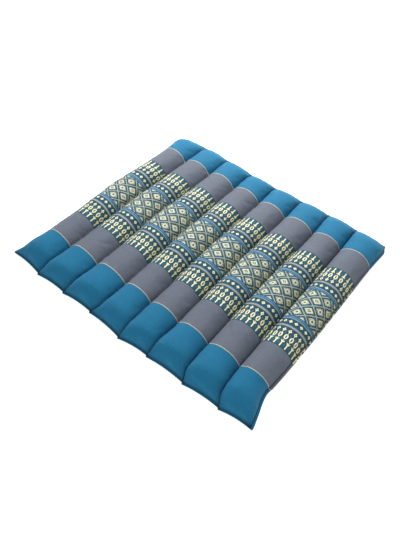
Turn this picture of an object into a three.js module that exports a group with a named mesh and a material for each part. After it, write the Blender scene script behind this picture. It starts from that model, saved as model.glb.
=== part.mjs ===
import * as THREE from 'three';

// Flat seat cushion: eight filled channels, side by side, sewn into one woven cotton cover.
// Millimetres. +X runs across the channels, +Y along them from the near end to the far end, +Z is up.
// The origin is under the middle of the cushion, on the surface that it lies on.

// Driving sizes
const CHANNELS = 8;
const CHANNEL_PITCH = 95;
const LENGTH = 729;
const LIP_WIDTH = 6.5;
const END_LIP_WIDTH = 4;
const CLOTH_PAIR = 2.4;

// Heights of the sewn lines above the surface: between two channels, along the two long sides
// and at the tips, where a channel seam meets an end seam.
const SEAM_HEIGHT = 15;
const SIDE_HEIGHT = 14;
const TIP_HEIGHT = 3;

// The filling pushes the cloth this far below a sewn line, until it lies flat on the surface.
const UNDER_BULGE = 22;
const CROWN_POWER = 0.45;

// Length over which a channel rises from its end seam to its full crown
const NEAR_FALL = 50;
const FAR_FALL = 66;

// Between two tips the end seam is drawn in towards the middle and stands a little higher.
const NEAR_DRAW = 2.5;
const FAR_DRAW = 5.5;
const END_LIFT = 3;
const END_LIFT_REACH = 46;
const END_PULL_REACH = 110;

// At each near tip the end seam of the channel on the left stops this far inside the tip.
const TIP_STEP = 4;

const CLOTH_COLOUR = 0x2b7299;
const CLOTH_ROUGHNESS = 0.85;

// Where along the cushion the seam offsets below are stated
const STATIONS = [0, 32, 105, 122, 365, 611, 700, LENGTH];

// One row for each lengthwise seam, from the left side to the right side.
// offsets: how far the seam lies to the right of its even place, at each station.
// nearTip, farTip: how far its two tips lie towards the far end.
// nearRise, farRise: the length over which it climbs from a tip to its full height.
const SEAMS = [
  { offsets: [-12, -4, 3, 3, -3, 6, 2, 11], nearTip: 9, farTip: -6, nearRise: 70, farRise: 60 },
  { offsets: [-7, -3, -1, -1, -3, 2, 5, 2], nearTip: -2, farTip: 7, nearRise: 45, farRise: 45 },
  { offsets: [-8, -2, 2, 2, -4, 3, 3, 3], nearTip: -1, farTip: 5, nearRise: 45, farRise: 45 },
  { offsets: [-8, 6, 9, 9, 3, 4, 6, 7], nearTip: 1, farTip: -1, nearRise: 45, farRise: 45 },
  { offsets: [3, 4, 3, 3, -1, 5, 5, 6], nearTip: -8, farTip: -1, nearRise: 40, farRise: 45 },
  { offsets: [-5, -5, -2, -2, -3, 4, 5, 5], nearTip: -1, farTip: 3, nearRise: 40, farRise: 45 },
  { offsets: [10, -2, -3, -3, -2, 7, 5, 5], nearTip: -1, farTip: 7, nearRise: 45, farRise: 45 },
  { offsets: [17, 1, -3, -3, 0, 4, 4, 2], nearTip: 3, farTip: 7, nearRise: 60, farRise: 45 },
  { offsets: [4, -2, -16, -13, -1, 4, 9, 1], nearTip: 9, farTip: 5, nearRise: 120, farRise: 60 },
];

// One row for each channel, from left to right: how high its crown stands above its seams.
const CHANNEL_CROWNS = [
  { near: 31, middle: 31, far: 29.5 },
  { near: 29.5, middle: 29.5, far: 29 },
  { near: 31, middle: 30.5, far: 29 },
  { near: 29, middle: 30, far: 28 },
  { near: 29, middle: 29.5, far: 28 },
  { near: 30, middle: 30, far: 29 },
  { near: 31, middle: 30.5, far: 29.5 },
  { near: 31.5, middle: 31, far: 31 },
];
const CROWN_STATIONS = [60, LENGTH / 2, LENGTH - 60];

// How far the folded edge along the two sides hangs down, in degrees below level
const LIP_DROOP_STATIONS = [0, 105, 250, LENGTH];
const LIP_DROOP = [0, 10, 50, 60];

// Places of the grid lines: across one channel from seam to seam (-1 to 1), and along the cushion
// from each end inwards.
const ACROSS_STEPS = [-1, -0.97, -0.88, -0.7, -0.4, 0, 0.4, 0.7, 0.88, 0.97];
const NEAR_STEPS = [0, END_LIP_WIDTH, 8, 14, 24, 38, 56, 80, 105, 122];
const FAR_STEPS = [90, 66, 46, 28, 16, 8, END_LIP_WIDTH, 0];
const MIDDLE_STEPS = 11;

function mix(start, end, share) {
  return start + (end - start) * share;
}

function smooth(share) {
  const held = Math.min(Math.max(share, 0), 1);
  return held * held * (3 - 2 * held);
}

// Slope of a smooth curve through the stated values, level at every turn so that it never overshoots
function slopeAt(stations, values, index) {
  if (index === 0 || index === stations.length - 1) {
    return 0;
  }
  const before = (values[index] - values[index - 1]) / (stations[index] - stations[index - 1]);
  const after = (values[index + 1] - values[index]) / (stations[index + 1] - stations[index]);
  if (before * after <= 0) {
    return 0;
  }
  return (2 * before * after) / (before + after);
}

function curveAt(stations, values, place) {
  const last = stations.length - 1;
  if (place <= stations[0]) {
    return values[0];
  }
  if (place >= stations[last]) {
    return values[last];
  }
  const next = stations.findIndex((station) => station > place);
  const span = stations[next] - stations[next - 1];
  const share = (place - stations[next - 1]) / span;
  const rise = smooth(share);
  const startSlope = slopeAt(stations, values, next - 1) * span;
  const endSlope = slopeAt(stations, values, next) * span;
  const startPart = startSlope * share * (1 - share) ** 2;
  const endPart = endSlope * share ** 2 * (1 - share);
  return mix(values[next - 1], values[next], rise) + startPart - endPart;
}

function seamX(seam, along) {
  return seam * CHANNEL_PITCH + curveAt(STATIONS, SEAMS[seam].offsets, along);
}

// Height of a lengthwise seam: full height along the middle, down to the tip at both ends
function seamZ(seam, along) {
  const isSide = seam === 0 || seam === CHANNELS;
  const full = isSide ? SIDE_HEIGHT : SEAM_HEIGHT;
  const { nearRise, farRise } = SEAMS[seam];
  const climb = Math.min(smooth(along / nearRise), smooth((LENGTH - along) / farRise));
  return mix(TIP_HEIGHT, full, climb);
}

// 0 at the end seams, 1 where the crown has its full height
function endRise(along) {
  const near = (along - END_LIP_WIDTH) / NEAR_FALL;
  const far = (LENGTH - along - END_LIP_WIDTH) / FAR_FALL;
  const share = Math.min(Math.max(Math.min(near, far), 0), 1);
  return Math.sqrt(1 - (1 - share) ** 2);
}

function crownHeight(channel, along) {
  const { near, middle, far } = CHANNEL_CROWNS[channel];
  return curveAt(CROWN_STATIONS, [near, middle, far], along);
}

// A point of the cover. column: its channel, its place across it from -1 to 1, and lip, which is
// -1 or 1 at the outer edge of the left or right lip. face is 1 on top and -1 underneath.
function coverPoint(column, along, face) {
  const { channel, across, lip } = column;
  const share = (across + 1) / 2;
  const bow = 1 - across ** 2;
  const left = SEAMS[channel];
  const right = SEAMS[channel + 1];
  const nearPull = mix(left.nearTip, right.nearTip + TIP_STEP, share) + NEAR_DRAW * bow;
  const farPull = mix(left.farTip, right.farTip, share) - FAR_DRAW * bow;
  const nearShare = 1 - smooth(along / END_PULL_REACH);
  const farShare = 1 - smooth((LENGTH - along) / END_PULL_REACH);
  const point = new THREE.Vector3(
    mix(seamX(channel, along), seamX(channel + 1, along), share),
    along + nearPull * nearShare + farPull * farShare,
    mix(seamZ(channel, along), seamZ(channel + 1, along), share),
  );
  const fromEnd = Math.min(along, LENGTH - along);
  point.z += END_LIFT * bow * (1 - smooth(fromEnd / END_LIFT_REACH));

  const droopDegrees = Math.abs(lip) * curveAt(LIP_DROOP_STATIONS, LIP_DROOP, along);
  const droop = THREE.MathUtils.degToRad(droopDegrees);
  point.x += lip * (LIP_WIDTH * Math.cos(droop) + face * (CLOTH_PAIR / 2) * Math.sin(droop));
  point.z -= Math.abs(lip) * LIP_WIDTH * Math.sin(droop);
  point.z += face * (CLOTH_PAIR / 2) * Math.cos(droop);

  const bulge = face > 0 ? crownHeight(channel, along) : UNDER_BULGE;
  point.z += face * bulge * endRise(along) * bow ** CROWN_POWER;
  point.z = Math.max(point.z, 0);
  return point;
}

function gridColumns() {
  const columns = [{ channel: 0, across: -1, lip: -1 }];
  for (let channel = 0; channel < CHANNELS; channel += 1) {
    for (const across of ACROSS_STEPS) {
      columns.push({ channel, across, lip: 0 });
    }
  }
  columns.push({ channel: CHANNELS - 1, across: 1, lip: 0 });
  columns.push({ channel: CHANNELS - 1, across: 1, lip: 1 });
  return columns;
}

function gridRows() {
  const rows = [...NEAR_STEPS];
  const middleStart = rows[rows.length - 1];
  const middleEnd = LENGTH - FAR_STEPS[0];
  for (let step = 1; step < MIDDLE_STEPS; step += 1) {
    rows.push(mix(middleStart, middleEnd, step / MIDDLE_STEPS));
  }
  return rows.concat(FAR_STEPS.map((step) => LENGTH - step));
}

// Two sheets of points, top and underside, joined all round the edge into one closed body
function cushionGeometry() {
  const columns = gridColumns();
  const rows = gridRows();
  const points = [];
  for (const face of [1, -1]) {
    for (const along of rows) {
      for (const column of columns) {
        points.push(coverPoint(column, along, face));
      }
    }
  }
  const sheetSize = columns.length * rows.length;
  const top = (row, column) => row * columns.length + column;
  const under = (row, column) => sheetSize + top(row, column);
  const triangles = [];
  const addQuad = (a, b, c, d) => {
    triangles.push(a, b, c, a, c, d);
  };

  const lastRow = rows.length - 1;
  const lastColumn = columns.length - 1;
  for (let row = 0; row < lastRow; row += 1) {
    for (let column = 0; column < lastColumn; column += 1) {
      const next = column + 1;
      addQuad(top(row, column), top(row, next), top(row + 1, next), top(row + 1, column));
      addQuad(under(row, column), under(row + 1, column), under(row + 1, next), under(row, next));
    }
  }
  for (let column = 0; column < lastColumn; column += 1) {
    const next = column + 1;
    addQuad(under(0, column), under(0, next), top(0, next), top(0, column));
    addQuad(under(lastRow, next), under(lastRow, column), top(lastRow, column), top(lastRow, next));
  }
  for (let row = 0; row < lastRow; row += 1) {
    const next = row + 1;
    addQuad(under(next, 0), under(row, 0), top(row, 0), top(next, 0));
    addQuad(under(row, lastColumn), under(next, lastColumn), top(next, lastColumn), top(row, lastColumn));
  }

  const geometry = new THREE.BufferGeometry().setFromPoints(points);
  geometry.setIndex(triangles);
  geometry.computeBoundingBox();
  const box = geometry.boundingBox;
  geometry.translate(-(box.min.x + box.max.x) / 2, -(box.min.y + box.max.y) / 2, -box.min.z);
  geometry.computeVertexNormals();
  return geometry;
}

const cloth = new THREE.MeshStandardMaterial({
  color: CLOTH_COLOUR,
  roughness: CLOTH_ROUGHNESS,
  metalness: 0,
});

const cushion = new THREE.Mesh(cushionGeometry(), cloth);
cushion.name = 'cushion';

const flatCushion = new THREE.Group();
flatCushion.add(cushion);

export default flatCushion;
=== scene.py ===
import math

import bpy
import numpy as np
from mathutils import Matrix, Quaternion, Vector, noise


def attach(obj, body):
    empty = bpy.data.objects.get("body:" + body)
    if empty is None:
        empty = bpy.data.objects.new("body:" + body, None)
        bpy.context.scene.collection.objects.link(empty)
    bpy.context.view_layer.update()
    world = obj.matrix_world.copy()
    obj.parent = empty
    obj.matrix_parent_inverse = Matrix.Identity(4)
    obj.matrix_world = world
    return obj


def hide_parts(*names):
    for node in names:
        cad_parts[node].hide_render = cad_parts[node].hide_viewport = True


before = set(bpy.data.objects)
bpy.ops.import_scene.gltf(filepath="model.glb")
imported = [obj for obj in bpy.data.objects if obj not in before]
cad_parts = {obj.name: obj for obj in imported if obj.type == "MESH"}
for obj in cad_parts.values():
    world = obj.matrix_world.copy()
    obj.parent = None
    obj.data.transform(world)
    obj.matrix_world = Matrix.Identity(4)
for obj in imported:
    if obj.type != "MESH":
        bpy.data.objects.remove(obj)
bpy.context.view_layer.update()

# Flat floor cushion: eight filled channels under one banded, patterned cotton cover.
# Metres. +X across the channels, +Y along them to the far end, +Z up.

MM = 0.001

# The photograph's camera, in metres
CAMERA_PLACE = (0.4940, -0.7992, 1.0621)
CAMERA_DIRECTION = (-0.336, 0.528, -0.780)
CAMERA_ROLL = math.radians(6.95)
CAMERA_LENS_MM = 32.5
CAMERA_SENSOR_MM = 36.0

# Sizes of the cover, in millimetres, as the solid has them
CHANNELS = 8
CHANNEL_PITCH = 95.0
LENGTH = 729.0
MIDDLE = LENGTH / 2
LIP_WIDTH = 6.5
END_LIP_WIDTH = 4.0
CLOTH_PAIR = 2.4
SEAM_HEIGHT = 15.0
SIDE_HEIGHT = 14.0
TIP_HEIGHT = 3.0
UNDER_BULGE = 22.0
CROWN_POWER = 0.45
NEAR_FALL = 50.0
FAR_FALL = 66.0
NEAR_DRAW = 2.5
FAR_DRAW = 5.5
TIP_STEP = 4.0
END_LIFT = 3.0
END_LIFT_REACH = 46.0
END_PULL_REACH = 110.0

# Where along the cushion the seam offsets are stated
STATIONS = (0, 32, 105, 122, 365, 611, 700, LENGTH)

# One row for each lengthwise seam, from the left side to the right side: its offsets to the right
# at the stations, how far its near and far tips lie towards the far end, and the lengths over
# which it climbs from those tips.
SEAMS = (
    {"offsets": (-12, -4, 3, 3, -3, 6, 2, 11),
     "near_tip": 9, "far_tip": -6, "near_rise": 70, "far_rise": 60},
    {"offsets": (-7, -3, -1, -1, -3, 2, 5, 2),
     "near_tip": -2, "far_tip": 7, "near_rise": 45, "far_rise": 45},
    {"offsets": (-8, -2, 2, 2, -4, 3, 3, 3),
     "near_tip": -1, "far_tip": 5, "near_rise": 45, "far_rise": 45},
    {"offsets": (-8, 6, 9, 9, 3, 4, 6, 7),
     "near_tip": 1, "far_tip": -1, "near_rise": 45, "far_rise": 45},
    {"offsets": (3, 4, 3, 3, -1, 5, 5, 6),
     "near_tip": -8, "far_tip": -1, "near_rise": 40, "far_rise": 45},
    {"offsets": (-5, -5, -2, -2, -3, 4, 5, 5),
     "near_tip": -1, "far_tip": 3, "near_rise": 40, "far_rise": 45},
    {"offsets": (10, -2, -3, -3, -2, 7, 5, 5),
     "near_tip": -1, "far_tip": 7, "near_rise": 45, "far_rise": 45},
    {"offsets": (17, 1, -3, -3, 0, 4, 4, 2),
     "near_tip": 3, "far_tip": 7, "near_rise": 60, "far_rise": 45},
    {"offsets": (4, -2, -16, -13, -1, 4, 9, 1),
     "near_tip": 9, "far_tip": 5, "near_rise": 120, "far_rise": 60},
)

# One row for each channel, from left to right: how high its crown stands above its seams, where
# its first whole column of diamonds lies, measured along the cloth from its left seam, and how
# far its bands lie towards the far end.
CHANNEL_ROWS = (
    {"near": 31.0, "middle": 31.0, "far": 29.5, "column_start": 73.0, "band_shift": -3.0},
    {"near": 29.5, "middle": 29.5, "far": 29.0, "column_start": 76.0, "band_shift": 0.0},
    {"near": 31.0, "middle": 30.5, "far": 29.0, "column_start": 78.5, "band_shift": 1.0},
    {"near": 29.0, "middle": 30.0, "far": 28.0, "column_start": 80.5, "band_shift": 0.0},
    {"near": 29.0, "middle": 29.5, "far": 28.0, "column_start": 83.0, "band_shift": -1.0},
    {"near": 30.0, "middle": 30.0, "far": 29.0, "column_start": 85.0, "band_shift": -2.0},
    {"near": 31.0, "middle": 30.5, "far": 29.5, "column_start": 85.0, "band_shift": -2.0},
    {"near": 31.5, "middle": 31.0, "far": 31.0, "column_start": 87.0, "band_shift": -2.0},
)
CROWN_STATIONS = (60, MIDDLE, LENGTH - 60)

# How far the folded edge along the two sides hangs down, in degrees below level
LIP_DROOP_STATIONS = (0, 105, 250, LENGTH)
LIP_DROOP = (0, 10, 50, 60)

# Fineness of the cloth's grid: steps across a channel and along the cushion. Both are even, because
# the simulated cloth has every second line.
STEPS_ACROSS = 28
STEPS_ALONG = 200
LIP_STEPS = 2

# How much of the steps along the cushion is even. The rest draws them together near both ends.
EVEN_SHARE = 0.8

# The least length to divide by
TINY = 1e-9

# How the cloth settles: its extra length, the air pressure in it and how far a point may move
CLOTH_SLACK = 0.003
SETTLE_PRESSURE = 3.0
SETTLE_STIFFNESS = 15.0
SETTLE_BENDING = 0.6
SETTLE_MASS = 0.3
SETTLE_QUALITY = 5
SETTLE_FRAMES = 12
SETTLE_CAP = 3.0

# Small puckers where the cloth is gathered, in millimetres: height, length of one pucker along the
# seam, how far it reaches from the seam, how far from the seam it starts, and how much it leans.
SEAM_PUCKER = {"height": 2.2, "length": 6.0, "reach": 11.0, "start": 2.5, "lean": 0.35}
END_PUCKER = {"height": 2.6, "length": 7.5, "reach": 26.0, "start": 5.0, "lean": 0.25}

# How far along a channel an end pucker keeps its form, and how far from a seam the cloth is held
END_PUCKER_RUN = 60.0
SEAM_HOLD = 8.0

# Soft lumps of the filling, in millimetres, shorter along the channels than across them
FILLING_LUMP = {"height": 0.96, "length": 55.0, "start": 30.0}
LUMP_SHORTENING = 1.4

# Seeds that keep the noise of each channel, side and kind apart
CHANNEL_SEED = 10
SIDE_SEED = 3
END_SEED = 0.5
LUMP_SEED = 7.5

# Colours by name, out of 255
WHITE_POINT = 255.0
WHITE = (1.0, 1.0, 1.0, 1.0)
COLOURS = {
    "teal": (24, 111, 149),
    "grey": (102, 109, 122),
    "line": (212, 196, 156),
    "sand": (164, 158, 148),
    "cream": (244, 238, 194),
    "pale": (176, 184, 164),
    "petal": (222, 220, 184),
    "navy": (34, 76, 96),
    "blue": (14, 98, 138),
    "haze": (126, 150, 164),
    "pond": (50, 98, 116),
    # Multiplied into the pattern on each channel's right flank as painted shade
    "painted_shade_olive": (214, 196, 96),
    "thread": (24, 48, 74),
    "floor": (240, 240, 240),
}

# The woven bands by their distance from the middle of the cushion, in millimetres. Each row gives
# where a band ends and its colour, going outwards.
PATTERN_EDGE = 157.4
BANDS = (
    {"ends": 54.0, "colour": "navy"},
    {"ends": 57.0, "colour": "blue"},
    {"ends": 59.2, "colour": "haze"},
    {"ends": 62.4, "colour": "blue"},
    {"ends": 64.6, "colour": "haze"},
    {"ends": 66.4, "colour": "pond"},
    {"ends": 86.0, "colour": "navy"},
    {"ends": 89.4, "colour": "haze"},
    {"ends": 92.4, "colour": "sand"},
    {"ends": PATTERN_EDGE, "colour": "navy"},
    {"ends": 245.8, "colour": "grey"},
    {"ends": 248.4, "colour": "line"},
    {"ends": 400.0, "colour": "teal"},
)
FIELD_EDGE = BANDS[0]["ends"]
BAND_SCALE = BANDS[-1]["ends"]

# The woven repeats, in millimetres: one chain of motifs, and one diamond of the field
CHAIN_REPEAT = 16.0
CHAIN_PHASE = 5.4
DIAMOND_WIDTH = 48.0
DIAMOND_LENGTH = 38.8

# The pattern is woven in whole threads, so many to a repeat.
CHAIN_THREADS = 14
DIAMOND_THREADS = 34
THREAD_ACROSS = CHAIN_REPEAT / CHAIN_THREADS
THREAD_ALONG = DIAMOND_LENGTH / DIAMOND_THREADS

# Where each motif of the chains stands, by distance from the middle
DOT_PLACE = 75.6
SMALL_PLACE = 104.5
RING_PLACE = 123.5
STAR_PLACE = 139.8
ARCH_PLACE = 149.0

# Stitches, in millimetres
STITCH_STEP = 3.6
STITCH_LENGTH = 2.8
THREAD_WIDTH = 0.7
THREAD_PROUD = 0.2

# How finely a stitch is rounded, around it and along it
STITCH_SIDES = 5
STITCH_RINGS = 4

# How uneven the threads are, as shares of the colour, and how many thick places a metre of cloth
# has across and along it
THREAD_UNEVEN = 0.26
SLUB_UNEVEN = 0.24
SLUB_DETAIL = 3.0
SLUBS_PER_METRE = (40.0, 300.0, 1.0)

# The weave's relief: its parts as shares of one height, and that height
PATTERN_RELIEF = 0.9
WEAVE_RELIEF = 0.35
UNEVEN_RELIEF = 0.3
RELIEF_METRES = 0.0003
RELIEF_STRENGTH = 0.5

# How matt the surfaces are
CLOTH_ROUGHNESS = 0.78
UNEVEN_ROUGHNESS = 0.1
CLOTH_GLOSS = 0.25
CLOTH_SHEEN = 0.05
THREAD_ROUGHNESS = 0.7
FLOOR_ROUGHNESS = 0.9

# Painted shade, where the cloth darkens in the grooves beside each seam, on each channel's right flank
# and beside the end seams: how far from a seam, in millimetres, and by what share. The lip and the side
# seams count as lying at the stated distances from a seam.
CREASE_REACH = 4.5
CREASE_SHADE = 0.93
END_CREASE_REACH = 2.5
END_CREASE_SHADE = 0.55
FLANK_REACH = 12.0
FLANK_SHADE = 0.4
LIP_REACH = 16.0
SIDE_SEAM_REACH = 1.5

# Fine folds that cross the seams, in millimetres, with their depth as a share of the relief
GATHER_LENGTH = 3.2
GATHER_REACH = 9.0
GATHER_DEPTH = 3.0
GATHER_DETAIL = 1.0

# The room, in metres and watts
FLOOR_SIZE = 12.0
FLOOR_GAP = 0.0003
FLOOR_GLOW = 0.7
ROOM_LIGHT = 0.38
LAMPS = (
    {"name": "left_lamp", "place": (-2.2, 0.4, 1.8), "size": 1.2, "power": 8.0},
    {"name": "front_lamp", "place": (1.3, -2.0, 1.4), "size": 1.4, "power": 20.0},
    {"name": "back_lamp", "place": (-0.7, 1.5, 1.2), "size": 1.0, "power": 60.0},
)


def smooth(share):
    held = np.clip(share, 0, 1)
    return held * held * (3 - 2 * held)


def slope_at(stations, values, index):
    """Slope of a smooth curve through the values, level at every turn so that it never overshoots."""
    if index in (0, len(stations) - 1):
        return 0.0
    before = (values[index] - values[index - 1]) / (stations[index] - stations[index - 1])
    after = (values[index + 1] - values[index]) / (stations[index + 1] - stations[index])
    if before * after <= 0:
        return 0.0
    return 2 * before * after / (before + after)


def curve_at(stations, values, place):
    """The smooth curve through the values at the stations, read at an array of places."""
    place = np.clip(place, stations[0], stations[-1])
    result = np.full(place.shape, float(values[-1]))
    for index in range(len(stations) - 1):
        span = stations[index + 1] - stations[index]
        share = (place - stations[index]) / span
        start_part = slope_at(stations, values, index) * span * share * (1 - share) ** 2
        end_part = slope_at(stations, values, index + 1) * span * share ** 2 * (1 - share)
        part = values[index] + (values[index + 1] - values[index]) * smooth(share) + start_part - end_part
        result = np.where((share >= 0) & (share < 1), part, result)
    return result


def seam_x(seam, along):
    return seam * CHANNEL_PITCH + curve_at(STATIONS, SEAMS[seam]["offsets"], along)


def seam_z(seam, along):
    full = SIDE_HEIGHT if seam in (0, CHANNELS) else SEAM_HEIGHT
    near = smooth(along / SEAMS[seam]["near_rise"])
    far = smooth((LENGTH - along) / SEAMS[seam]["far_rise"])
    return TIP_HEIGHT + (full - TIP_HEIGHT) * np.minimum(near, far)


def end_rise(along):
    near = (along - END_LIP_WIDTH) / NEAR_FALL
    far = (LENGTH - along - END_LIP_WIDTH) / FAR_FALL
    share = np.clip(np.minimum(near, far), 0, 1)
    return np.sqrt(1 - (1 - share) ** 2)


def strip_points(channel, across, along, face, lip):
    """Points of the cover over one channel. across runs from -1 to 1 between its seams, face is 1
    on top and -1 underneath, and lip is -1 or 1 on the outer edge of the left or right lip."""
    share = (across + 1) / 2
    bow = 1 - across ** 2
    left, right, row = SEAMS[channel], SEAMS[channel + 1], CHANNEL_ROWS[channel]
    near_rise = right["near_tip"] + TIP_STEP - left["near_tip"]
    near_pull = left["near_tip"] + near_rise * share + NEAR_DRAW * bow
    far_pull = left["far_tip"] + (right["far_tip"] - left["far_tip"]) * share - FAR_DRAW * bow
    x = seam_x(channel, along) * (1 - share) + seam_x(channel + 1, along) * share
    y = along + near_pull * (1 - smooth(along / END_PULL_REACH))
    y = y + far_pull * (1 - smooth((LENGTH - along) / END_PULL_REACH))
    z = seam_z(channel, along) * (1 - share) + seam_z(channel + 1, along) * share
    from_end = np.minimum(along, LENGTH - along)
    z = z + END_LIFT * bow * (1 - smooth(from_end / END_LIFT_REACH))

    droop = np.radians(curve_at(LIP_DROOP_STATIONS, LIP_DROOP, along)) * abs(lip)
    x = x + lip * (LIP_WIDTH * np.cos(droop) + face * CLOTH_PAIR / 2 * np.sin(droop))
    z = z - abs(lip) * LIP_WIDTH * np.sin(droop)
    z = z + face * CLOTH_PAIR / 2 * np.cos(droop)

    crown = curve_at(CROWN_STATIONS, (row["near"], row["middle"], row["far"]), along)
    bulge = crown if face > 0 else UNDER_BULGE
    z = z + face * bulge * end_rise(along) * bow ** CROWN_POWER
    return np.stack([x, y, np.maximum(z, 0)], axis=-1)


def across_places():
    """Places across a channel, closer together near its seams."""
    even = np.linspace(-1, 1, STEPS_ACROSS + 1)
    return (even + np.sin(even * math.pi / 2)) / 2


def along_places():
    """Places along the cushion: the two lips, then steps that are closer together near both ends."""
    even = np.linspace(-1, 1, STEPS_ALONG + 1)
    eased = even * EVEN_SHARE + np.sin(even * math.pi / 2) * (1 - EVEN_SHARE)
    inner = END_LIP_WIDTH + (eased + 1) / 2 * (LENGTH - 2 * END_LIP_WIDTH)
    lip = END_LIP_WIDTH / 2
    return np.concatenate([[0, lip], inner, [LENGTH - lip, LENGTH]])


class Sheet:
    """One face of the cover as a grid: rows along the cushion, columns across it with the two lips."""

    def __init__(self, face):
        self.face = face
        self.along = along_places()
        places = across_places()
        lip = [(step + 1) / LIP_STEPS for step in range(LIP_STEPS)]
        self.columns = [(0, -1.0, -share) for share in lip[::-1]]
        for channel in range(CHANNELS):
            self.columns += [(channel, place, 0.0) for place in places[:-1]]
        self.columns.append((CHANNELS - 1, 1.0, 0.0))
        self.columns += [(CHANNELS - 1, 1.0, share) for share in lip]
        strips = [strip_points(channel, np.float64(across), self.along, face, lip_share)
                  for channel, across, lip_share in self.columns]
        self.points = np.stack(strips, axis=1)

    def channel_columns(self, channel):
        """Numbers of the columns over a channel, from its left seam to its right seam."""
        first = LIP_STEPS + channel * STEPS_ACROSS
        return slice(first, first + STEPS_ACROSS + 1)

    def quads(self, start, rows, columns):
        """Corner numbers of the sheet's squares, turned to face out."""
        grid = start + np.arange(rows * columns).reshape(rows, columns)
        corners = (grid[:-1, :-1], grid[:-1, 1:], grid[1:, 1:], grid[1:, :-1])
        if self.face < 0:
            corners = corners[::-1]
        return np.stack(corners, axis=-1).reshape(-1, 4)


def rim_quads(rows, columns):
    """Squares that close the edge between the top sheet, numbered first, and the underside."""
    top = np.arange(rows * columns).reshape(rows, columns)
    ring = np.concatenate([top[0, :], top[1:, -1], top[-1, -2::-1], top[-2:0:-1, 0]])
    after = np.roll(ring, -1)
    under = rows * columns
    return np.stack([ring + under, after + under, after, ring], axis=-1)


def closed_faces(sheets, rows, columns):
    """Squares of the top sheet, the underside and the edge between them."""
    return np.concatenate([
        sheets[0].quads(0, rows, columns),
        sheets[1].quads(rows * columns, rows, columns),
        rim_quads(rows, columns),
    ])


def mesh_object(name, points, faces):
    mesh = bpy.data.meshes.new(name)
    mesh.from_pydata((points * MM).tolist(), [], faces.tolist())
    mesh.validate()
    made = bpy.data.objects.new(name, mesh)
    bpy.context.scene.collection.objects.link(made)
    return made


def held_points(sheet, step):
    """True where the cloth is sewn down, folded in the lip or lying on the floor."""
    columns = sheet.columns[::step]
    rows = sheet.along[::step]
    sewn = np.array([abs(across) == 1 or lip != 0 for _, across, lip in columns])
    ends = (rows <= END_LIP_WIDTH) | (rows >= LENGTH - END_LIP_WIDTH)
    lying = sheet.points[::step, ::step, 2] <= 0
    return sewn[None, :] | ends[:, None] | lying


def settled_moves(sheets):
    """Lets air pressure fill slightly long cloth that is held at its seams. Returns the moves of
    every second grid point, as one array for each sheet."""
    coarse = [sheet.points[::2, ::2] for sheet in sheets]
    rows, columns = coarse[0].shape[:2]
    points = np.concatenate([part.reshape(-1, 3) for part in coarse])
    cloth = mesh_object("settling_cloth", points, closed_faces(sheets, rows, columns))
    held = np.concatenate([held_points(sheet, 2).reshape(-1) for sheet in sheets])
    group = cloth.vertex_groups.new(name="held")
    group.add(np.flatnonzero(held).tolist(), 1.0, "REPLACE")

    modifier = cloth.modifiers.new("settling", "CLOTH")
    settings = modifier.settings
    settings.vertex_group_mass = "held"
    settings.quality = SETTLE_QUALITY
    settings.mass = SETTLE_MASS
    settings.tension_stiffness = SETTLE_STIFFNESS
    settings.compression_stiffness = SETTLE_STIFFNESS
    settings.bending_stiffness = SETTLE_BENDING
    settings.shrink_min = -CLOTH_SLACK
    settings.use_pressure = True
    settings.uniform_pressure_force = SETTLE_PRESSURE
    settings.effector_weights.gravity = 0
    modifier.collision_settings.use_collision = False
    for frame_number in range(1, SETTLE_FRAMES + 1):
        bpy.context.scene.frame_set(frame_number)

    settled = cloth.evaluated_get(bpy.context.evaluated_depsgraph_get())
    after = np.empty(len(settled.data.vertices) * 3)
    settled.data.vertices.foreach_get("co", after)
    moves = after.reshape(-1, 3) / MM - points
    bpy.context.scene.frame_set(1)
    bpy.data.objects.remove(cloth)
    length = np.linalg.norm(moves, axis=1, keepdims=True)
    moves = moves * np.minimum(1, SETTLE_CAP / np.maximum(length, TINY))
    return moves.reshape(2, rows, columns, 3)


def halved(values, axis):
    """Adds a point between each two neighbours, on the cubic curve through them and the next two,
    which weighs the four by -1, 9, 9 and -1 sixteenths."""
    values = np.moveaxis(values, axis, 0)
    padded = np.concatenate([values[:1], values, values[-1:]])
    between = (9 * (padded[1:-2] + padded[2:-1]) - padded[:-3] - padded[3:]) / 16
    result = np.empty((2 * len(values) - 1,) + values.shape[1:])
    result[0::2] = values
    result[1::2] = between
    return np.moveaxis(result, 0, axis)


def noise_grid(first, second, seed):
    """Smooth noise from about -1 to 1, read at two arrays of coordinates."""
    flat = [noise.noise(Vector((u, v, seed))) for u, v in zip(first.ravel(), second.ravel())]
    return np.array(flat).reshape(first.shape)


def outward(points, face):
    """Unit normals of a grid of points, pointing out of the cushion."""
    across = np.gradient(points, axis=1)
    along = np.gradient(points, axis=0)
    normal = np.cross(across, along) * face
    return normal / np.maximum(np.linalg.norm(normal, axis=-1, keepdims=True), TINY)


def cloth_arcs(sheet):
    """For each grid point, its distance along the cloth from the seam on its left and on its right,
    one array of each for every channel."""
    arcs = []
    for channel in range(CHANNELS):
        strip = sheet.points[:, sheet.channel_columns(channel)]
        steps = np.linalg.norm(np.diff(strip, axis=1), axis=-1)
        from_left = np.concatenate([np.zeros((len(strip), 1)), np.cumsum(steps, axis=1)], axis=1)
        arcs.append((from_left, from_left[:, -1:] - from_left))
    return arcs


def seam_puckers(distance, along, seed):
    """Heights of the puckers along one seam, at a grid of distances from it."""
    run = along + distance * SEAM_PUCKER["lean"]
    wave = noise_grid(run / SEAM_PUCKER["length"], distance / (2 * SEAM_PUCKER["reach"]), seed)
    fade = np.exp(-distance / SEAM_PUCKER["reach"]) * smooth(distance / SEAM_PUCKER["start"])
    return SEAM_PUCKER["height"] * wave * fade


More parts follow.
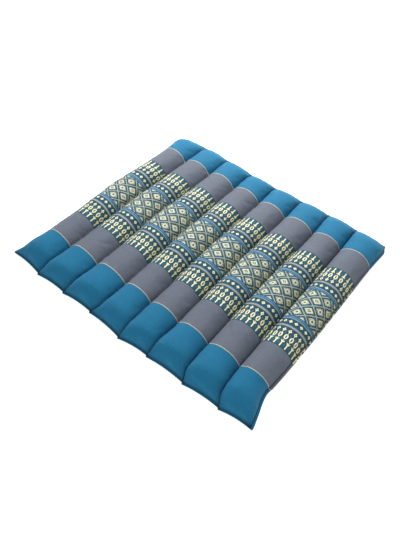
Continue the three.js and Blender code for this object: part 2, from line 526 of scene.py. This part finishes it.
def end_puckers(place, share, from_end, seed):
    """Heights of the puckers at both ends, which fan out from the middle of a channel."""
    lean = (share - 0.5) * from_end * END_PUCKER["lean"]
    wave = noise_grid((place - lean) / END_PUCKER["length"], from_end / END_PUCKER_RUN, seed)
    fade = np.exp(-np.maximum(from_end, 0) / END_PUCKER["reach"]) * smooth(from_end / END_PUCKER["start"])
    return END_PUCKER["height"] * wave * fade


def add_wrinkles(sheet, arcs):
    """Raises the puckers along the seams and at the ends, and the soft lumps of the filling."""
    out = outward(sheet.points, sheet.face)
    raised = np.zeros(sheet.points.shape[:2])
    for channel, (from_left, from_right) in enumerate(arcs):
        along = np.broadcast_to(sheet.along[:, None], from_left.shape)
        from_end = np.minimum(along, LENGTH - along) - END_LIP_WIDTH
        strip = np.zeros(from_left.shape)
        for side, distance in enumerate((from_left, from_right)):
            strip += seam_puckers(distance, along, channel * CHANNEL_SEED + side * SIDE_SEED + sheet.face)
        width = from_left + from_right
        place = from_left + width * channel
        hold = smooth(np.minimum(from_left, from_right) / SEAM_HOLD)
        strip += end_puckers(place, from_left / width, from_end, channel + END_SEED) * hold
        run = along / FILLING_LUMP["length"] * LUMP_SHORTENING
        lump = noise_grid(place / FILLING_LUMP["length"], run, sheet.face + LUMP_SEED)
        strip += FILLING_LUMP["height"] * lump * hold * smooth(from_end / FILLING_LUMP["start"])
        raised[:, sheet.channel_columns(channel)] = strip
    lying = sheet.points[..., 2] <= 0
    raised[lying] = 0
    sheet.points = sheet.points + out * raised[..., None]
    sheet.points[..., 2] = np.maximum(sheet.points[..., 2], 0)


def weave_places(sheet, arcs):
    """Where each corner of the sheet's squares lies in the weave: across the cloth from a column of
    diamonds, and along it from the middle of the cushion."""
    rows, columns = sheet.points.shape[:2]
    first = np.zeros((rows, columns - 1))
    second = np.zeros((rows, columns - 1))
    shift = np.zeros(columns - 1)
    for channel, (from_left, _) in enumerate(arcs):
        span = sheet.channel_columns(channel)
        left = from_left - CHANNEL_ROWS[channel]["column_start"]
        first[:, span.start:span.stop - 1] = left[:, :-1]
        second[:, span.start:span.stop - 1] = left[:, 1:]
        shift[span.start:span.stop - 1] = CHANNEL_ROWS[channel]["band_shift"]
    step = LIP_WIDTH / LIP_STEPS
    for number in range(LIP_STEPS):
        inner = LIP_STEPS - number
        first[:, number] = first[:, LIP_STEPS] - inner * step
        second[:, number] = first[:, number] + step
        outer = columns - 1 - LIP_STEPS + number
        first[:, outer] = second[:, columns - 2 - LIP_STEPS] + number * step
        second[:, outer] = first[:, outer] + step
    shift[:LIP_STEPS] = shift[LIP_STEPS]
    shift[-LIP_STEPS:] = shift[-LIP_STEPS - 1]
    along = sheet.along[:, None] - MIDDLE - shift[None, :]
    corners = (
        (first[:-1], along[:-1]),
        (second[:-1], along[:-1]),
        (second[1:], along[1:]),
        (first[1:], along[1:]),
    )
    if sheet.face < 0:
        corners = corners[::-1]
    places = np.stack([np.stack(pair, axis=-1) for pair in corners], axis=2)
    return places.reshape(-1, 2)


def cushion_cover():
    """The whole cover as one closed padded mesh, with its weave map."""
    sheets = [Sheet(1), Sheet(-1)]
    low = np.minimum(sheets[0].points.min((0, 1)), sheets[1].points.min((0, 1)))
    high = np.maximum(sheets[0].points.max((0, 1)), sheets[1].points.max((0, 1)))
    centre = np.array([(low[0] + high[0]) / 2, (low[1] + high[1]) / 2, 0])
    arcs = [cloth_arcs(sheet) for sheet in sheets]
    moves = settled_moves(sheets)
    for sheet, move in zip(sheets, moves):
        sheet.points = sheet.points + halved(halved(move, 0), 1)
    for sheet, sheet_arcs in zip(sheets, arcs):
        add_wrinkles(sheet, sheet_arcs)
        sheet.points -= centre

    rows, columns = sheets[0].points.shape[:2]
    faces = closed_faces(sheets, rows, columns)
    points = np.concatenate([sheet.points.reshape(-1, 3) for sheet in sheets])
    cover = mesh_object("cushion_cover", points, faces)
    cover.data.shade_smooth()
    weave = np.concatenate([weave_places(sheet, sheet_arcs) for sheet, sheet_arcs in zip(sheets, arcs)])
    rim = rim_weave(sheets, rows, columns)
    layer = cover.data.uv_layers.new(name="weave")
    layer.data.foreach_set("uv", (np.concatenate([weave, rim]) * MM).ravel())
    add_seam_distances(cover, sheets, arcs)
    return cover, sheets


def rim_weave(sheets, rows, columns):
    """Places in the weave for the thin edge of the lip, so that the bands run on over it."""
    along = np.repeat(sheets[0].along[:, None] - MIDDLE, columns, axis=1)
    across = np.repeat(np.linspace(0, CHANNELS * CHANNEL_PITCH, columns)[None, :], rows, axis=0)
    places = np.stack([across, along], axis=-1).reshape(-1, 2)
    places = np.concatenate([places, places])
    return places[rim_quads(rows, columns).ravel()]


def linear(colour):
    """A named colour as the linear values that shaders take, by the sRGB standard's formula."""
    shares = [value / WHITE_POINT for value in COLOURS[colour]]
    bright = [share / 12.92 if share <= 0.04045 else ((share + 0.055) / 1.055) ** 2.4 for share in shares]
    return (*bright, 1.0)


class Field:
    """A number that varies over the cloth: a socket in a material, with the sums that nodes can do.
    & takes the lower of two numbers and | the higher, so between masks they say both and either."""

    def __init__(self, tree, socket):
        self.tree = tree
        self.socket = socket

    def combined(self, operation, *others):
        node = self.tree.nodes.new("ShaderNodeMath")
        node.operation = operation
        for slot, value in zip(node.inputs, (self, *others)):
            if isinstance(value, Field):
                self.tree.links.new(value.socket, slot)
            else:
                slot.default_value = value
        return Field(self.tree, node.outputs[0])

    def __add__(self, other):
        return self.combined("ADD", other)

    def __sub__(self, other):
        return self.combined("SUBTRACT", other)

    def __mul__(self, other):
        return self.combined("MULTIPLY", other)

    def __truediv__(self, other):
        return self.combined("DIVIDE", other)

    def __lt__(self, other):
        return self.combined("LESS_THAN", other)

    def __gt__(self, other):
        return self.combined("GREATER_THAN", other)

    def __and__(self, other):
        return self.combined("MINIMUM", other)

    def __or__(self, other):
        return self.combined("MAXIMUM", other)

    def size(self):
        return self.combined("ABSOLUTE")

    def threads(self, width):
        """The whole number of threads of that width."""
        return (self / width).combined("ROUND")

    def snapped(self, width):
        """The place of the nearest whole thread of that width."""
        return self.threads(width) * width

    def from_nearest(self, repeat):
        """Distance to the nearest whole number of repeats."""
        return self.combined("PINGPONG", repeat / 2)


def node_of(tree, kind, **settings):
    node = tree.nodes.new(kind)
    for name, value in settings.items():
        setattr(node, name, value)
    return node


# Numbers of a mix node's slots for colours, whose names its slots for plain numbers have too
MIX_BELOW = 6
MIX_ABOVE = 7
MIX_RESULT = 2


def painted(tree, below, above, mask=None, blend="MIX"):
    """The colour below, with the colour above where the mask is 1, or everywhere without a mask.
    Either may be a colour's name."""
    node = node_of(tree, "ShaderNodeMix", data_type="RGBA", blend_type=blend)
    node.inputs["Factor"].default_value = 1.0
    if mask is not None:
        tree.links.new(mask.socket, node.inputs["Factor"])
    for slot, colour in ((node.inputs[MIX_BELOW], below), (node.inputs[MIX_ABOVE], above)):
        if isinstance(colour, str):
            slot.default_value = linear(colour)
        else:
            tree.links.new(colour, slot)
    return node.outputs[MIX_RESULT]


def stepped_ramp(tree, field, rows):
    """A ramp of flat colours. Each row gives where its colour ends, as a share of 1."""
    node = tree.nodes.new("ShaderNodeValToRGB")
    ramp = node.color_ramp
    ramp.interpolation = "CONSTANT"
    given = len(ramp.elements)
    start = 0.0
    for number, (ends, colour) in enumerate(rows):
        if number < given:
            element = ramp.elements[number]
            element.position = start
        else:
            element = ramp.elements.new(start)
        element.color = linear(colour)
        start = ends
    tree.links.new(field.socket, node.inputs["Fac"])
    return node.outputs["Color"]


def diamond(across, along, half_across, half_along):
    """1 inside a diamond. across is a distance from its middle, so it isn't negative."""
    return (across / half_across + along.size() / half_along) < 1.0


def oval(across, along, half_across, half_along):
    first = across / half_across
    second = along / half_along
    return (first * first + second * second) < 1.0


# Lines of one diamond, going outwards: where each ends, as a share of the way to the next diamond,
# and its colour
DIAMOND_LINES = (
    (0.14, "petal"),
    (0.30, "navy"),
    (0.56, "petal"),
    (0.64, "haze"),
    (0.96, "navy"),
    (1.00, "pale"),
)

# Rings of the flower that fills every second diamond, going outwards, in millimetres. Beads lie on
# the last one, in a fine check that also makes the diamonds' lines zigzag.
FLOWER_RINGS = (
    (1.1, "petal"),
    (3.5, "navy"),
    (6.8, "petal"),
    (9.4, "petal"),
)
BEAD_START = FLOWER_RINGS[2][0]
FLOWER_REACH = FLOWER_RINGS[3][0]
CHECK_THREADS = 2.0
CHECK_PUSH = 0.09


def diamond_field(tree, across, along):
    """The field in the middle: diamonds of zigzag lines, with a round flower in every second one."""
    sideways = across.snapped(THREAD_ACROSS).from_nearest(DIAMOND_WIDTH)
    lengthwise = along.snapped(THREAD_ALONG).from_nearest(DIAMOND_LENGTH)
    total = sideways / (DIAMOND_WIDTH / 2) + lengthwise / (DIAMOND_LENGTH / 2)
    squares = across.threads(THREAD_ACROSS * CHECK_THREADS) + along.threads(THREAD_ALONG * CHECK_THREADS)
    # Every second square of a check has an odd number.
    checks = squares.from_nearest(2.0) > 0.5
    # Past 1 lies the next diamond, whose middle is at 2.
    own_total = total & (total * -1.0 + 2.0)
    colour = stepped_ramp(tree, own_total + checks * CHECK_PUSH, DIAMOND_LINES)

    radius = (sideways * sideways + lengthwise * lengthwise).combined("SQRT")
    ring_rows = [(ends / FLOWER_REACH, ring_colour) for ends, ring_colour in FLOWER_RINGS]
    rings = stepped_ramp(tree, radius / FLOWER_REACH, ring_rows)
    colour = painted(tree, colour, rings, radius < FLOWER_REACH)
    beads = (radius > BEAD_START) & (radius < FLOWER_REACH) & checks
    return painted(tree, colour, "navy", beads)


# Half sizes of the motifs, across and along the channels, in millimetres
ARCH = (4.2, 7.5)
ARCH_HOLE = (1.6, 5.0)
ARCH_HOLE_SHIFT = 3.0
FIRST_POND = (3.4, 5.5)
SECOND_POND = (3.0, 4.6)
STAR_POINTS = (2.4, 7.2)
RING = (5.3, 8.1)
RING_HOLE = (1.8, 4.7)
SMALL = (5.1, 5.9)
SMALL_HOLE = (1.2, 1.8)
DOT = (4.9, 5.4)
DOT_SLIT = (0.6, 1.7)

# Half widths of the neck that joins a chain's motifs and of the stem past a star, and how far the
# stem stops from the pattern's edge
NECK_WIDTH = 0.6
STEM_WIDTH = 1.7
STEM_GAP = 2.5

# A star's two arms: how far outside its middle they start, how far inwards they run, how far they
# spread for each millimetre of that run, and their half width
ARM_DROP = 3.5
ARM_RISE = 7.0
ARM_SPREAD = 0.65
ARM_WIDTH = 1.2


def motif_chains(tree, below, across, distance):
    """Stars on stems, rings, small diamonds and dots in chains, with ponds and arches between them.
    Returns the colours and a mask of the raised cream threads."""
    on_chain = (across - CHAIN_PHASE).from_nearest(CHAIN_REPEAT).snapped(THREAD_ACROSS)
    between = (across - CHAIN_PHASE - CHAIN_REPEAT / 2).from_nearest(CHAIN_REPEAT).snapped(THREAD_ACROSS)

    def rows_from(place):
        return (distance - place).snapped(THREAD_ALONG)

    arch = oval(between, rows_from(ARCH_PLACE), *ARCH)
    arch_hole = oval(between, rows_from(ARCH_PLACE + ARCH_HOLE_SHIFT), *ARCH_HOLE)
    pond = diamond(between, rows_from((SMALL_PLACE + RING_PLACE) / 2), *FIRST_POND)
    pond = pond | diamond(between, rows_from((RING_PLACE + STAR_PLACE) / 2), *SECOND_POND)
    colour = painted(tree, below, "pond", arch | pond)
    colour = painted(tree, colour, "navy", arch_hole)

    star_rows = rows_from(STAR_PLACE)
    rise = star_rows * -1.0 + ARM_DROP
    arms = ((on_chain - rise * ARM_SPREAD).size() < ARM_WIDTH) & (rise > 0.0) & (rise < ARM_RISE)
    star = arms | diamond(on_chain, star_rows, *STAR_POINTS)
    stem = (on_chain < STEM_WIDTH) & (distance > STAR_PLACE) & (distance < PATTERN_EDGE - STEM_GAP)
    ring_rows = rows_from(RING_PLACE)
    small_rows = rows_from(SMALL_PLACE)
    neck = (on_chain < NECK_WIDTH) & (distance > SMALL_PLACE) & (distance < STAR_PLACE)
    dot_rows = rows_from(DOT_PLACE)
    cream = star | stem | neck | diamond(on_chain, dot_rows, *DOT)
    cream = cream | oval(on_chain, ring_rows, *RING) | diamond(on_chain, small_rows, *SMALL)
    colour = painted(tree, colour, "cream", cream)

    holes = oval(on_chain, ring_rows, *RING_HOLE) | diamond(on_chain, small_rows, *SMALL_HOLE)
    slit = (on_chain < DOT_SLIT[0]) & (dot_rows.size() < DOT_SLIT[1])
    return painted(tree, colour, "navy", holes | slit), cream


def point_field(tree, name):
    """The values that the mesh stores at its points under a name."""
    return Field(tree, node_of(tree, "ShaderNodeAttribute", attribute_name=name).outputs["Fac"])


def near_share(distance, reach):
    """1 at a distance of zero, fading to nothing within a few times the reach."""
    return (distance / -reach).combined("EXPONENT")


def gathers(tree, run, distance):
    """Fine folds that cross a seam. run is the place along the seam, distance the way from it."""
    folds = node_of(tree, "ShaderNodeTexNoise", noise_dimensions="1D")
    folds.inputs["Scale"].default_value = 1.0
    folds.inputs["Detail"].default_value = GATHER_DETAIL
    tree.links.new((run / GATHER_LENGTH).socket, folds.inputs["W"])
    return Field(tree, folds.outputs["Fac"]) * near_share(distance, GATHER_REACH) * GATHER_DEPTH


def cover_cloth():
    """Woven cotton: plain and patterned bands, with raised pattern threads, a fine weave and painted
    shade beside the seams, on the channels' right flanks and at the ends.
    """
    material = bpy.data.materials.new("cover_cloth")
    material.use_nodes = True
    tree = material.node_tree
    shader = tree.nodes["Principled BSDF"]
    weave = node_of(tree, "ShaderNodeUVMap", uv_map="weave")
    parts = tree.nodes.new("ShaderNodeSeparateXYZ")
    tree.links.new(weave.outputs["UV"], parts.inputs[0])
    across = Field(tree, parts.outputs[0]) / MM
    along = Field(tree, parts.outputs[1]) / MM
    distance = along.size()
    from_seam = point_field(tree, "from_seam")
    from_end = point_field(tree, "from_end")
    # Nearness to the seam on each point's right, where painted shade falls on the right flank
    flank = near_share(point_field(tree, "from_right"), FLANK_REACH)

    share = distance / BAND_SCALE
    colour = stepped_ramp(tree, share, [(row["ends"] / BAND_SCALE, row["colour"]) for row in BANDS])
    colour, cream = motif_chains(tree, colour, across, distance)
    colour = painted(tree, colour, diamond_field(tree, across, along), distance < FIELD_EDGE)
    # Painted shade: the pattern on each channel's right flank is multiplied by olive, darker and yellower
    # there.
    colour = painted(tree, colour, "painted_shade_olive", flank & (distance < PATTERN_EDGE), "MULTIPLY")

    threads = tree.nodes.new("ShaderNodeCombineXYZ")
    tree.links.new(across.threads(THREAD_ACROSS).socket, threads.inputs[0])
    tree.links.new(along.threads(THREAD_ALONG).socket, threads.inputs[1])
    uneven = node_of(tree, "ShaderNodeTexWhiteNoise", noise_dimensions="2D")
    tree.links.new(threads.outputs[0], uneven.inputs["Vector"])
    stretched = node_of(tree, "ShaderNodeMapping")
    stretched.inputs["Scale"].default_value = SLUBS_PER_METRE
    tree.links.new(weave.outputs["UV"], stretched.inputs["Vector"])
    slubs = tree.nodes.new("ShaderNodeTexNoise")
    slubs.inputs["Scale"].default_value = 1.0
    slubs.inputs["Detail"].default_value = SLUB_DETAIL
    tree.links.new(stretched.outputs[0], slubs.inputs["Vector"])
    unevenness = Field(tree, uneven.outputs["Value"])
    thread_light = unevenness * THREAD_UNEVEN + (1 - THREAD_UNEVEN / 2)
    slub_light = Field(tree, slubs.outputs["Fac"]) * SLUB_UNEVEN + (1 - SLUB_UNEVEN / 2)
    # Painted shade: the colour is darkened beside the seams, on each channel's right flank and beside the
    # end seams, where the grooves fall into shade. The thread and slub factors are the cloth's own uneven
    # tone.
    crease_painted_shade = near_share(from_seam, CREASE_REACH) * -CREASE_SHADE + 1.0
    flank_painted_shade = flank * -FLANK_SHADE + 1.0
    end_painted_shade = near_share(from_end, END_CREASE_REACH) * -END_CREASE_SHADE + 1.0
    tone_and_painted_shade = thread_light * slub_light * crease_painted_shade * flank_painted_shade * end_painted_shade
    colour = painted(tree, colour, tone_and_painted_shade.socket, blend="MULTIPLY")
    tree.links.new(colour, shader.inputs["Base Color"])

    turn = 2 * math.pi
    warp = (across * (turn / THREAD_ACROSS)).combined("SINE")
    weft = (along * (turn / THREAD_ALONG)).combined("SINE")
    height = warp * weft * WEAVE_RELIEF + cream * PATTERN_RELIEF + unevenness * UNEVEN_RELIEF
    height = height + gathers(tree, along, from_seam) + gathers(tree, across, from_end)
    bump = tree.nodes.new("ShaderNodeBump")
    bump.inputs["Strength"].default_value = RELIEF_STRENGTH
    bump.inputs["Distance"].default_value = RELIEF_METRES
    tree.links.new(height.socket, bump.inputs["Height"])
    tree.links.new(bump.outputs["Normal"], shader.inputs["Normal"])
    rough = unevenness * UNEVEN_ROUGHNESS + CLOTH_ROUGHNESS
    tree.links.new(rough.socket, shader.inputs["Roughness"])
    shader.inputs["Specular IOR Level"].default_value = CLOTH_GLOSS
    shader.inputs["Sheen Weight"].default_value = CLOTH_SHEEN
    return material


def plain_material(name, colour, roughness):
    material = bpy.data.materials.new(name)
    material.use_nodes = True
    shader = material.node_tree.nodes["Principled BSDF"]
    shader.inputs["Base Color"].default_value = linear(colour)
    shader.inputs["Roughness"].default_value = roughness
    return material


def add_seam_distances(cover, sheets, arcs):
    """Stores each point's distance along the cloth from the nearest lengthwise seam, from the seam on
    its right and from the nearest end seam, in millimetres."""
    nearest, rightward, endward = [], [], []
    for sheet, sheet_arcs in zip(sheets, arcs):
        near = np.full(sheet.points.shape[:2], LIP_REACH)
        right = np.full(sheet.points.shape[:2], CHANNEL_PITCH)
        for channel, (from_left, from_right) in enumerate(sheet_arcs):
            near[:, sheet.channel_columns(channel)] = np.minimum(from_left, from_right)
            right[:, sheet.channel_columns(channel)] = from_right
        for column in (LIP_STEPS, -LIP_STEPS - 1):
            near[:, column] = SIDE_SEAM_REACH
        from_end = np.minimum(sheet.along, LENGTH - sheet.along) - END_LIP_WIDTH
        nearest.append(near.ravel())
        rightward.append(right.ravel())
        endward.append(np.repeat(np.abs(from_end), near.shape[1]))
    rows = (("from_seam", nearest), ("from_right", rightward), ("from_end", endward))
    for name, distances in rows:
        layer = cover.data.attributes.new(name, "FLOAT", "POINT")
        layer.data.foreach_set("value", np.concatenate(distances).astype(np.float32))


def studio():
    """A white floor, an even bright room and soft lamps to the left, in front and behind."""
    bpy.ops.mesh.primitive_plane_add(size=FLOOR_SIZE, location=(0, 0, -FLOOR_GAP))
    floor = bpy.context.object
    floor.name = "floor"
    paint = plain_material("floor_paint", "floor", FLOOR_ROUGHNESS)
    shader = paint.node_tree.nodes["Principled BSDF"]
    shader.inputs["Emission Color"].default_value = WHITE
    shader.inputs["Emission Strength"].default_value = FLOOR_GLOW
    floor.data.materials.append(paint)

    world = bpy.data.worlds.new("room")
    world.use_nodes = True
    background = world.node_tree.nodes["Background"]
    background.inputs["Color"].default_value = WHITE
    background.inputs["Strength"].default_value = ROOM_LIGHT
    bpy.context.scene.world = world
    for row in LAMPS:
        data = bpy.data.lights.new(row["name"], "AREA")
        data.energy = row["power"]
        data.size = row["size"]
        lamp = bpy.data.objects.new(row["name"], data)
        lamp.location = row["place"]
        lamp.rotation_euler = (-Vector(row["place"])).to_track_quat("-Z", "Y").to_euler()
        bpy.context.scene.collection.objects.link(lamp)


def photo_camera():
    data = bpy.data.cameras.new("camera")
    data.lens = CAMERA_LENS_MM
    data.sensor_width = CAMERA_SENSOR_MM
    camera = bpy.data.objects.new("camera", data)
    bpy.context.scene.collection.objects.link(camera)
    camera.location = CAMERA_PLACE
    level = Vector(CAMERA_DIRECTION).to_track_quat("-Z", "Y")
    camera.rotation_mode = "QUATERNION"
    camera.rotation_quaternion = level @ Quaternion((0, 0, 1), CAMERA_ROLL)
    bpy.context.scene.camera = camera


def stitch_tree(material):
    """Nodes that set one small rounded stitch at even steps along each line of edges. Each is a round
    bead one unit wide, stretched to the stitch's width and length."""
    tree = bpy.data.node_groups.new("seam_stitches", "GeometryNodeTree")
    face = tree.interface
    face.new_socket("Lines", in_out="INPUT", socket_type="NodeSocketGeometry")
    for name, value in (("Stitch step", STITCH_STEP), ("Stitch length", STITCH_LENGTH),
                        ("Thread width", THREAD_WIDTH)):
        socket = face.new_socket(name, in_out="INPUT", socket_type="NodeSocketFloat")
        socket.default_value = value * MM
    face.new_socket("Stitches", in_out="OUTPUT", socket_type="NodeSocketGeometry")

    inputs = tree.nodes.new("NodeGroupInput")
    to_curve = tree.nodes.new("GeometryNodeMeshToCurve")
    steps = node_of(tree, "GeometryNodeResampleCurve", mode="LENGTH")
    bead = tree.nodes.new("GeometryNodeMeshUVSphere")
    bead.inputs["Segments"].default_value = STITCH_SIDES
    bead.inputs["Rings"].default_value = STITCH_RINGS
    bead.inputs["Radius"].default_value = 0.5
    tangent = tree.nodes.new("GeometryNodeInputTangent")
    turned = node_of(tree, "FunctionNodeAlignRotationToVector", axis="Z")
    shape = tree.nodes.new("ShaderNodeCombineXYZ")
    placed = tree.nodes.new("GeometryNodeInstanceOnPoints")
    real = tree.nodes.new("GeometryNodeRealizeInstances")
    finish = tree.nodes.new("GeometryNodeSetMaterial")
    finish.inputs["Material"].default_value = material
    outputs = tree.nodes.new("NodeGroupOutput")
    link = tree.links.new
    link(inputs.outputs["Lines"], to_curve.inputs["Mesh"])
    link(to_curve.outputs["Curve"], steps.inputs["Curve"])
    link(inputs.outputs["Stitch step"], steps.inputs["Length"])
    link(steps.outputs["Curve"], placed.inputs["Points"])
    link(bead.outputs["Mesh"], placed.inputs["Instance"])
    link(tangent.outputs["Tangent"], turned.inputs["Vector"])
    link(turned.outputs["Rotation"], placed.inputs["Rotation"])
    link(inputs.outputs["Thread width"], shape.inputs["X"])
    link(inputs.outputs["Thread width"], shape.inputs["Y"])
    link(inputs.outputs["Stitch length"], shape.inputs["Z"])
    link(shape.outputs["Vector"], placed.inputs["Scale"])
    link(placed.outputs["Instances"], real.inputs["Geometry"])
    link(real.outputs["Geometry"], finish.inputs["Geometry"])
    link(finish.outputs["Geometry"], outputs.inputs["Stitches"])
    return tree


def seam_thread(sheets):
    """The stitches of every seam, on top and underneath, as one piece."""
    points, edges = [], []
    last_row = len(sheets[0].along) - 1 - LIP_STEPS
    for sheet in sheets:
        out = outward(sheet.points, sheet.face)
        raised = sheet.points + out * THREAD_PROUD
        raised[..., 2] = np.maximum(raised[..., 2], THREAD_WIDTH / 2)
        seams = [LIP_STEPS + seam * STEPS_ACROSS for seam in range(CHANNELS + 1)]
        lines = [raised[LIP_STEPS:last_row + 1, column] for column in seams]
        lines += [raised[row, LIP_STEPS:-LIP_STEPS] for row in (LIP_STEPS, last_row)]
        for line in lines:
            start = len(points)
            points += line.tolist()
            edges += [(number, number + 1) for number in range(start, start + len(line) - 1)]
    mesh = bpy.data.meshes.new("seam_lines")
    mesh.from_pydata((np.array(points) * MM).tolist(), edges, [])
    lines = bpy.data.objects.new("seam_lines", mesh)
    bpy.context.scene.collection.objects.link(lines)
    modifier = lines.modifiers.new("stitches", "NODES")
    modifier.node_group = stitch_tree(plain_material("seam_thread", "thread", THREAD_ROUGHNESS))
    ready = lines.evaluated_get(bpy.context.evaluated_depsgraph_get())
    stitches = bpy.data.objects.new("seam_thread", bpy.data.meshes.new_from_object(ready))
    bpy.context.scene.collection.objects.link(stitches)
    bpy.data.objects.remove(lines)
    return stitches


photo_camera()
studio()
bpy.context.scene.view_settings.view_transform = "Standard"

cover, sheets = cushion_cover()
cover.data.materials.append(cover_cloth())
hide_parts("cushion")
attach(cover, "root")

thread = seam_thread(sheets)
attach(thread, "root")
